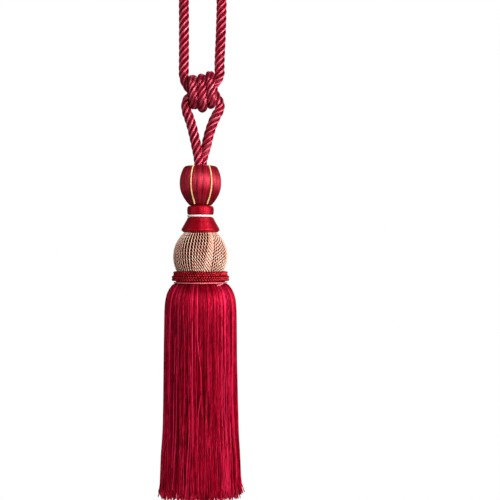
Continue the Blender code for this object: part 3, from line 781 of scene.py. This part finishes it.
# Each row is a wale's number, then its degrees at the net's top, middle and bottom.
NET_AZIMUTHS = (
    ((-16, -113, -124, -127), (-3, -45, -42, -38), (1, -12, -13, -14), (6, 30, 16, 11))
    + ((11, 43, 30, 26), (16, 67, 56, 53))
)
NET_SLANTS = (
    ((-16, -38, -38, -38), (-6, -40, -38, -32), (-4, -34, -28, -22), (-2, -14, -4, 0), (0, 2, 12, 24))
    + ((3, 22, 38, 44), (8, 26, 34, 40), (10, 4, 8, 14), (12, -30, -32, -26), (16, -38, -38, -38))
)


def by_wale(table, number, part):
    """The value for a wale's number and a share of the way down. Each row of the table is a number and its
    values at the top, the middle and the bottom. It is read straight across, and along a parabola
    downwards."""
    numbers, *levels = np.array(table, dtype=float).T
    top, middle, bottom = (np.interp(number, numbers, level) for level in levels)
    return (1 - part) * (1 - 2 * part) * top + 4 * part * (1 - part) * middle + part * (2 * part - 1) * bottom


def net_place(azimuth, part, lift):
    """The point of the net at an azimuth from the front and a share of the way down, and the way out there.
    Equal shares are equal heights."""
    angle = azimuth - np.pi / 2
    polar = np.arccos(np.cos(NET_TOP) + (np.cos(NET_BOTTOM) - np.cos(NET_TOP)) * part)
    radius, height = np.moveaxis(oval(polar, lift), -1, 0)
    return on_circle(radius, angle, height), on_circle(np.sin(polar), angle, np.cos(polar))


def net_wales():
    """The wales' paths, their ways out, and a mask of painted light and shade: a painted highlight where a
    stitch lies in front, and painted shade where it turns back in. A stitch goes aside by its slant while it
    lies in front, for most of a mesh, and comes back in the rest of the mesh, a little lower.
    Beside the upright wales, every second wale is half a stitch ahead. The back half of the net is the
    front one, turned by half a turn."""
    number = NET_WALES[:, None]
    part = np.linspace(0.0, 1.0, NET_ROWS) + 0.0 * number
    azimuth = np.radians(by_wale(NET_AZIMUTHS, number, part))
    azimuth = azimuth + np.repeat([0.0, np.pi], NET_COLUMNS)[:, None]
    azimuth = azimuth + NET_DRIFT * soft_noise(azimuth, part, seed=21, most_around=7, most_along=6.0)
    uneven = soft_noise(NET_UNEVEN_FOLDS * azimuth, part, seed=25, most_around=3, most_along=9.0)
    beside = np.clip((np.abs(number - NET_UPRIGHT_WALE) - NET_UPRIGHT_REACH) / NET_UPRIGHT_EASE, 0, 1)
    phase = NET_MESHES * part + (1 + NET_STITCH_SHARE) / 2 + NET_UNEVENNESS * uneven
    phase = (phase + 0.5 * (number % 2) * beside) % 1
    front = np.clip(phase / NET_STITCH_SHARE, 0, 1)
    back = np.clip((phase - NET_STITCH_SHARE) / (1 - NET_STITCH_SHARE), 0, 1)
    point, _ = net_place(azimuth, part, NET_LIFT)
    mesh_height = (point[0, 0, 2] - point[0, -1, 2]) / NET_MESHES
    slant = np.tan(np.radians(by_wale(NET_SLANTS, number, part)))
    aside = slant * NET_STITCH_SHARE * mesh_height * (front - back - 0.5)
    turn = aside / np.hypot(point[..., 0], point[..., 1])
    path, up = net_place(azimuth + turn, part, NET_LIFT - NET_DIP * np.sin(np.pi * back))
    return path, up, (np.sin(np.pi * front) - np.sin(np.pi * back))[..., None]


def net_links():
    """The level threads that join the wales, one ring for each mesh. They pass behind the wales and sag a
    little between them."""
    azimuth = full_turn(NET_LINK_STEPS)[None]
    row = (np.arange(NET_MESHES + 1)[:, None] + NET_LINK_SAG * np.cos(NET_LINK_WAVES * azimuth)) / NET_MESHES
    drift = NET_LINK_DRIFT * soft_noise(azimuth, row, seed=22, most_around=9, most_along=9.0)
    return net_place(azimuth, np.clip(row + drift, 0, 1), NET_LINK_LIFT)


# The crest mask paints highlight and shade on the stitches. The deep reddish brown is also the painted shade,
# tinted by the red that the crimson parts around throw onto the thread.
net_gold = yarn(
    "pinkish gold net thread", (0.40, 0.09, 0.055), (0.95, 0.45, 0.31), (1.0, 0.86, 0.68),
    round_count=8, lean=1.2, breaks=0.6, relief=0.02, mottle=0.8, masks=[("crest", 0.38)],
    Metallic=0.1, Roughness=0.34, Anisotropic=0.5, Specular_IOR_Level=0.8,
)
net_path, net_up, net_stitch_light_and_shade = net_wales()
net_turn = TURN * NET_PLY_TURNS * NET_MESHES * np.linspace(0.0, 1.0, NET_ROWS)
net_crowd = np.exp(-(((NET_WALES[:, None, None] - NET_CROWD_CENTRE) / NET_CROWD_REACH) ** 2))
net_radius = NET_THREAD_RADIUS + (NET_CROWDED_RADIUS - NET_THREAD_RADIUS) * net_crowd
net_reach = ply_reach(net_turn, NET_THREAD_SIDES, 2, net_radius)
make_piece(
    "ball_net_threads",
    round_tubes(net_path, net_up, net_reach, NET_THREAD_SIDES),
    length_along(net_path),
    net_gold,
    "gold_thread",
    ["ball_net"],
    crest=net_stitch_light_and_shade,
)
link_path, link_up = net_links()
link_points = round_tubes(link_path, link_up, NET_LINK_RADIUS, NET_LINK_SIDES, closed=True)
link_along = length_along(link_path, closed=True)
# The links get a crest of -1, a painted shade: they lie behind the wales.
make_piece("ball_net_links", link_points, link_along, net_gold, "gold_thread", closed=True, crest=-1.0)

# %% [markdown]
# ## The plaited band and its thin cord
# The band that covers the skirt's head is two rows of three-strand plait, sewn on a tape. In a plait each
# strand goes from side to side while it dips under and over the others twice as often. Seen from the front
# that is a sine, and its depth is a sine of the double phase. The three strands run a third of a period
# apart.

# %% The plaits
PLAIT_ROWS = 440
PLAIT_STRAND_RADIUS = 0.66 * MM
PLAIT_DEPTH = 0.72 * MM
PLAIT_SIDES = 12
PLAIT_EDGE_SHADE = 0.7


def plait(ring_radius, height, half_width, periods, twists):
    """Three strands round Z at height + half_width * sin(phase) and ring_radius + depth * sin(2 * phase)."""
    angle = full_turn(PLAIT_ROWS)
    phase = periods * angle + TURN / 3 * np.arange(3)[:, None]
    out = ring_radius + PLAIT_DEPTH * np.sin(2 * phase)
    path = on_circle(out, angle, height + half_width * np.sin(phase))
    reach = ply_reach(twists * angle, PLAIT_SIDES, 3, PLAIT_STRAND_RADIUS)
    points = round_tubes(path, on_circle(1.0, angle, 0.0), reach, PLAIT_SIDES, closed=True)
    # Painted light and shade: lift is lighter where a strand lies over the others and darker where it dips
    # under, and darker again near the band's edges, where a strand turns.
    lift = np.sin(2 * phase) - PLAIT_EDGE_SHADE * np.sin(phase) ** 4
    return points, length_along(path, closed=True), lift[..., None]


# The lift mask paints bright flecks on the strands that lie on top and shade where they dip under.
plait_yarn = yarn(
    "plaited crimson yarn", (0.03, 0.0, 0.0006), (0.11, 0.0, 0.001), (0.58, 0.022, 0.038),
    round_count=21, lean=0.8, breaks=0.4, relief=0.03, masks=[("lift", 0.55)],
    Metallic=0.6, Roughness=0.32, Specular_IOR_Level=0.3, Specular_Tint=(1.0, 0.2, 0.25, 1.0),
)
for name, ring_radius, height, half_width, periods, twists, replaced in (
    ("plait_upper", 20.5, -238.4, 1.4, 21, 50, ["gimp"]),
    ("plait_lower", 21.7, -242.0, 1.5, 22, 52, []),
):
    points, along, lift = plait(ring_radius * MM, height * MM, half_width * MM, periods, twists)
    make_piece(name, points, along, plait_yarn, "twisted_cord", replaced, closed=True, lift=lift)

# %% The tape behind the plaits
TAPE_SECTION = (
    ((19.9, -236.4), (20.2, -236.4), (20.3, -238))
    + ((20.6, -241), (20.6, -244.2), (19.9, -244.2))
)
TAPE_COLUMNS = 120


def tape_ring(section, columns):
    """A closed band: each point of the section is turned round Z, and the last one joins the first."""
    radius, height = np.array(section).T[:, :, None] * MM
    return on_circle(radius, full_turn(columns), height)[None]


tape_points = tape_ring(TAPE_SECTION, TAPE_COLUMNS)
tape_along = length_along(tape_points[:, :, 0], closed=True)
make_piece("plait_tape", tape_points, tape_along, dark_thread, "twisted_cord", closed=True)

# %% The thin cord under the band
LINE_RADIUS = 0.43 * MM
LINE_HEIGHT = -245.4 * MM
LINE_RING_RADIUS = 21.1 * MM
line_thread = yarn(
    "rose gold thread", (0.30, 0.02, 0.03), (0.72, 0.16, 0.18), (1.0, 0.46, 0.44),
    round_count=16, lean=0.9, breaks=0.12, relief=0.03,
    Roughness=0.38, Sheen_Weight=0.2,
)
line_points, line_along = twisted_ring(
    LINE_RING_RADIUS, LINE_HEIGHT, LINE_RADIUS, plies=2, twists=36, rows=432
)
make_piece("thin_line", line_points, line_along, line_thread, "gold_thread", ["gimp_line"], closed=True)

# %% The thin cord's loose end
# It leaves the line at one side of the front, runs on round the tassel, and moves out and down as it goes.
TAIL_ROWS = 30
TAIL_START, TAIL_TURN = -32, -20
TAIL_RADIUS, TAIL_SWING = 21.3, 1.1
TAIL_HEIGHT, TAIL_DROP = -245.7, 1.5
TAIL_CORD_RADIUS = 0.5 * MM
TAIL_TWISTS = 2.2
part = np.linspace(0.0, 1.0, TAIL_ROWS)
tail_angle = np.radians(TAIL_START + TAIL_TURN * part)
tail_radius = (TAIL_RADIUS + TAIL_SWING * np.sin(np.pi / 2 * part)) * MM
tail_path = on_circle(tail_radius, tail_angle, (TAIL_HEIGHT - TAIL_DROP * part**0.7) * MM)[None]
tail_out = on_circle(1.0, tail_angle, 0.0)[None]
tail_reach = ply_reach(TURN * TAIL_TWISTS * part[None], THIN_CORD_SIDES, 2, TAIL_CORD_RADIUS)
tail_points = round_tubes(tail_path, tail_out, tail_reach, THIN_CORD_SIDES)
make_piece("thin_line_end", tail_points, length_along(tail_path), line_thread, "gold_thread")

# %% [markdown]
# ## The skirt
# The skirt is cut yarn that hangs from a head under the band. What makes it look like yarn is its disorder:
# the threads gather in small bunches, some stray across their neighbours, and none is quite as long as the
# next. Every thread starts from the same profile, set further in for each inner layer. Its angle drifts
# towards its bunch, and a few sine waves with random phases make it wander. Light threads alternate with
# dark ones. Coarser threads fill the inside, and a solid head holds the roots.

# %% The skirt's threads
SKIRT_PROFILE = (
    ((19.8, 246), (21.2, 246.5), (22.4, 247.4), (23.9, 249.2), (25.3, 251.5), (26.4, 253.9))
    + ((27.2, 256.5), (27.9, 260), (28.3, 264.5), (28.5, 269), (28.8, 291), (29.3, 339))
    + ((30, 363), (31.4, 382), (31.9, 399), (32.6, 413), (32.8, 419))
)
SKIRT_STEP = 0.25 * MM
SKIRT_EASE = 3.0 * MM
# One thread: its mesh, how much shorter than the profile it is, and how far it strays.
THREAD_ROWS = 30
THREAD_RADIUS = 0.38 * MM
THREAD_SIDES = 4
THREAD_SHORTER = 6.0 * MM
THREAD_UNEVENNESS = 1.4 * MM
THREAD_LOOSENESS = 0.3
THREAD_REACH = 1.1 * MM
STRAY_REACH = 3.8 * MM
STRAY_SHARE = 0.14
THREAD_DEPTH = 0.35 * MM
# A bunch: its share of threads, how strongly it pulls them together, and how far it wanders.
BUNCH_THREADS = 3
BUNCH_LOOSENESS = 0.35
BUNCH_PULL, BUNCH_PULLS = 0.6, (0.2, 1.3)
BUNCH_REACH = 1.3 * MM
BUNCH_DEPTH = 0.45 * MM
THREAD_WAVES, BUNCH_WAVES = (1, 2, 3, 5), (1, 2, 3)
# The cut ends fan out over the last part of a thread.
FLARE_START, FLARE_RUN = 0.93, 0.07
FLARE_OUT, FLARE_SPREAD, FLARE_TURN = 0.1 * MM, 0.9 * MM, 0.03
# A thread's own tone, the step to its neighbours, and the gain towards the hem.
TONES, TONE_STEP, TONE_RISE = (-0.75, 0.25), 0.28, 0.25
BRIGHT_SHARE, BRIGHT_TONE = 0.09, 1.1


def scattered(rng, count, looseness):
    """Angles evenly spaced round a turn, each moved at random by up to the share looseness of the spacing."""
    return TURN * (np.arange(count) + rng.uniform(-looseness, looseness, count)) / count


def skirt_threads(count, inset, seed):
    """Threads round the skirt. A thread's row lies at a share of its length down the profile, moved in
    along the profile's normal by inset. Returns the points, the lengths along them and the tones: light and
    dark threads alternate, about one in eleven is bright, and most grow lighter downwards."""
    rng = np.random.default_rng(seed)
    profile = eased_profile(SKIRT_PROFILE, 0.0, SKIRT_STEP, SKIRT_EASE)
    slope = unit(np.gradient(profile, axis=0))
    profile = profile + inset * np.stack([slope[:, 1], -slope[:, 0]], axis=1)
    depth = np.arange(len(profile)) * SKIRT_STEP
    part = np.linspace(0.0, 1.0, THREAD_ROWS) ** 1.2
    at = part * (depth[-1] - THREAD_SHORTER + rng.normal(0.0, THREAD_UNEVENNESS, (count, 1)))
    out, height = (np.interp(at, depth, profile[:, axis]) for axis in range(2))
    home = scattered(rng, count, THREAD_LOOSENESS)[:, None]
    bunches = count // BUNCH_THREADS
    bunch_at = scattered(rng, bunches, BUNCH_LOOSENESS)
    near = np.argmin(np.abs(wrapped(home - bunch_at)), axis=1)
    pull = BUNCH_PULL * rng.uniform(*BUNCH_PULLS, bunches)[near][:, None] * np.sin(np.pi / 2 * part) ** 0.7
    reach = np.where(rng.uniform(0, 1, (count, 1)) < STRAY_SHARE, STRAY_REACH, THREAD_REACH)
    group = rng.normal(0, 1, (bunches, len(BUNCH_WAVES)))[near]
    group_waves = np.sin(np.pi * np.outer(part, BUNCH_WAVES)[None] + TURN * group[:, None])
    group_way = BUNCH_REACH * np.sum(group[:, None] * group_waves / BUNCH_WAVES, axis=-1)
    sideways = np.zeros_like(at)
    inward = np.zeros_like(at)
    for wave in THREAD_WAVES:
        shift = rng.uniform(0, TURN, (count, 1))
        sideways = sideways + rng.normal(0, 1, (count, 1)) / wave * np.sin(np.pi * wave * part + shift)
        inward = inward + rng.normal(0, 1, (count, 1)) / wave * np.sin(np.pi * wave * part + 2 * shift)
    loose = part**0.8
    angle = home + wrapped(bunch_at[near][:, None] - home) * pull
    angle = angle + loose * (reach * sideways + group_way) / out
    out = out + THREAD_DEPTH * loose * inward
    out = out - BUNCH_DEPTH * loose * rng.uniform(0, 1, bunches)[near][:, None]
    flare = np.clip((part - FLARE_START) / FLARE_RUN, 0, 1) ** 2
    out = out + flare * rng.normal(FLARE_OUT, FLARE_SPREAD, (count, 1))
    angle = angle + flare * rng.normal(0.0, FLARE_TURN, (count, 1))
    path = on_circle(out, angle, height)
    points = round_tubes(path, on_circle(1.0, angle, 0.0), THREAD_RADIUS, THREAD_SIDES)
    alternate = np.where(np.arange(count) % 2, TONE_STEP, -TONE_STEP)
    tone = rng.uniform(*TONES, (count, 1, 1)) + alternate[:, None, None]
    tone = np.where(rng.uniform(0, 1, (count, 1, 1)) < BRIGHT_SHARE, BRIGHT_TONE, tone)
    tone = tone + TONE_RISE * (1 + group[:, :1, None]) * part[:, None]
    return points, length_along(path) + rng.uniform(0, 1, (count, 1)), tone


CORE_SPACING = 1.9
CORE_SHARES = (0.08, 0.86)
CORE_WIDTH, CORE_TOP, CORE_HEIGHT = 32.0, -247.0, 166.0
CORE_UNEVENNESS = 1.3
CORE_ROWS = 5
CORE_THREAD_RADIUS = 0.55 * MM


def skirt_core(seed):
    """Straight threads that fill the inside. They stand in rings one spacing apart, and each ring has as
    many as fit round it one spacing apart, at random angles. A thread keeps its share of the profile's
    radius."""
    rng = np.random.default_rng(seed)
    shares = np.arange(*CORE_SHARES, CORE_SPACING / CORE_WIDTH)
    counts = np.maximum(3, (TURN * shares * CORE_WIDTH / CORE_SPACING).astype(int))
    share = np.repeat(shares, counts)[:, None]
    angle = rng.uniform(0, TURN, share.shape)
    length = CORE_HEIGHT + rng.normal(0, CORE_UNEVENNESS, share.shape)
    z = CORE_TOP - length * np.linspace(0.0, 1.0, CORE_ROWS)
    radii, heights = np.array(SKIRT_PROFILE)[::-1].T
    path = on_circle(share * np.interp(z, -heights, radii), angle, z) * MM
    points = round_tubes(path, on_circle(1.0, angle, 0.0), CORE_THREAD_RADIUS, THREAD_SIDES)
    return points, length_along(path) + rng.uniform(0, 1, share.shape), rng.uniform(0, 1, (len(share), 1, 1))


# %% Dress the skirt
skirt_yarn = yarn(
    "cut crimson yarn", (0.07, 0.0, 0.002), (0.41, 0.0003, 0.016), (0.76, 0.02, 0.085),
    round_count=6, lean=0.5, breaks=0.04, relief=0.03, mottle=0.25, masks=[("tone", 0.5)],
    Metallic=0.5, Roughness=0.5, Anisotropic=0.6, Specular_IOR_Level=0.6,
    Specular_Tint=(1.0, 0.1, 0.25, 1.0),
)
for name, count, inset, seed, replaced in (
    ("skirt_outer", 240, 0.0, 31, ["skirt"]),
    ("skirt_second", 250, 0.8, 32, []),
    ("skirt_third", 250, 1.8, 33, []),
):
    points, along, tone = skirt_threads(count, inset * MM, seed)
    make_piece(name, points, along, skirt_yarn, "cut_yarn", replaced, tone=tone)
core_points, core_along, core_tone = skirt_core(seed=41)
make_piece("skirt_core", core_points, core_along, skirt_yarn, "cut_yarn", tone=core_tone)

# %% The skirt's head
HEAD_TOP = -237.2 * MM
HEAD_SECTION = ((15.5, 0), (19.6, 0), (19.6, 8.9), (20.6, 10.2), (21.8, 12), (22.3, 15))
HEAD_COLUMNS = 90
head_rows = eased_profile(HEAD_SECTION, HEAD_TOP, step=0.5 * MM, ease=1.0 * MM)
head_along = length_along(head_rows[None])
make_piece("skirt_head", turned(head_rows, HEAD_COLUMNS), head_along, skirt_yarn, "cut_yarn", tone=0.0)

# %% [markdown]
# ## Room and light
# The photograph is lit by a soft lamp from the right and a little above, in a white room. A second lamp
# stands near the camera, a wide weak one fills in from the left, and one behind serves the views from the
# back. The room is a white background, brighter for the camera than for the yarn, so that the picture's
# ground is white while the yarn keeps its shadows. A pale round floor lies well below and fades out towards
# its edge.

# %% Lights
TARGET = np.array([0.0, 0.0, -0.22])
# Each lamp has its azimuth and elevation in degrees, its distance and size in metres, and its power.
LAMPS = {
    "key": (62.0, 10.0, 1.0, 0.5, 12.0),
    "front": (22.0, 20.0, 1.1, 0.4, 9.5),
    "left": (-62.0, 0.0, 1.1, 1.1, 3.4),
    "back": (180.0, 32.0, 1.2, 0.8, 4.5),
}
for name, (azimuth, elevation, distance, size, power) in LAMPS.items():
    turn, rise = np.radians(azimuth), np.radians(elevation)
    toward = np.array([np.sin(turn) * np.cos(rise), -np.cos(turn) * np.cos(rise), np.sin(rise)])
    lamp = new_object(name, bpy.data.lights.new(name, "AREA"))
    lamp.data.shape = "DISK"
    lamp.data.size = size
    lamp.data.energy = power
    lamp.location = TARGET + distance * toward
    lamp.rotation_mode = "QUATERNION"
    lamp.rotation_quaternion = Vector(toward).to_track_quat("Z", "Y")

# %% World
AMBIENT = 0.1
world = bpy.data.worlds.new("white room")
world.use_nodes = True
scene.world = world
background = world.node_tree.nodes["Background"]
background.inputs["Color"].default_value = (1.0, 1.0, 1.0, 1.0)
seen = add_node(world.node_tree, "ShaderNodeLightPath").outputs["Is Camera Ray"]
strength = maths(world.node_tree, "MULTIPLY_ADD", seen, 1 - AMBIENT, AMBIENT)
world.node_tree.links.new(strength, background.inputs["Strength"])
scene.view_settings.view_transform = "Standard"

# %% Floor
FLOOR_HEIGHT = -0.50
FLOOR_RADIUS = 0.33
FLOOR_SIDES = 96
FLOOR_COLOUR = (0.86, 0.86, 0.85, 1.0)
FLOOR_ROUGHNESS = 0.9
floor_material = bpy.data.materials.new("pale floor")
floor_material.use_nodes = True
tree = floor_material.node_tree
here = add_node(tree, "ShaderNodeTexCoord").outputs["Object"]
from_centre = add_node(tree, "ShaderNodeVectorMath", {0: here}, operation="LENGTH").outputs["Value"]
fade = maths(tree, "MULTIPLY_ADD", from_centre, -1 / (0.5 * FLOOR_RADIUS), 2.0, clamp=True)
shader = tree.nodes["Principled BSDF"].inputs
tree.links.new(fade, shader["Alpha"])
shader["Base Color"].default_value = FLOOR_COLOUR
shader["Roughness"].default_value = FLOOR_ROUGHNESS
disc = on_circle(FLOOR_RADIUS, full_turn(FLOOR_SIDES), 0.0)
floor_mesh = bpy.data.meshes.new("floor")
floor_mesh.from_pydata(disc.tolist(), [], [list(range(len(disc)))])
floor_mesh.materials.append(floor_material)
floor = new_object("floor", floor_mesh)
floor.location = (0.0, 0.0, FLOOR_HEIGHT)
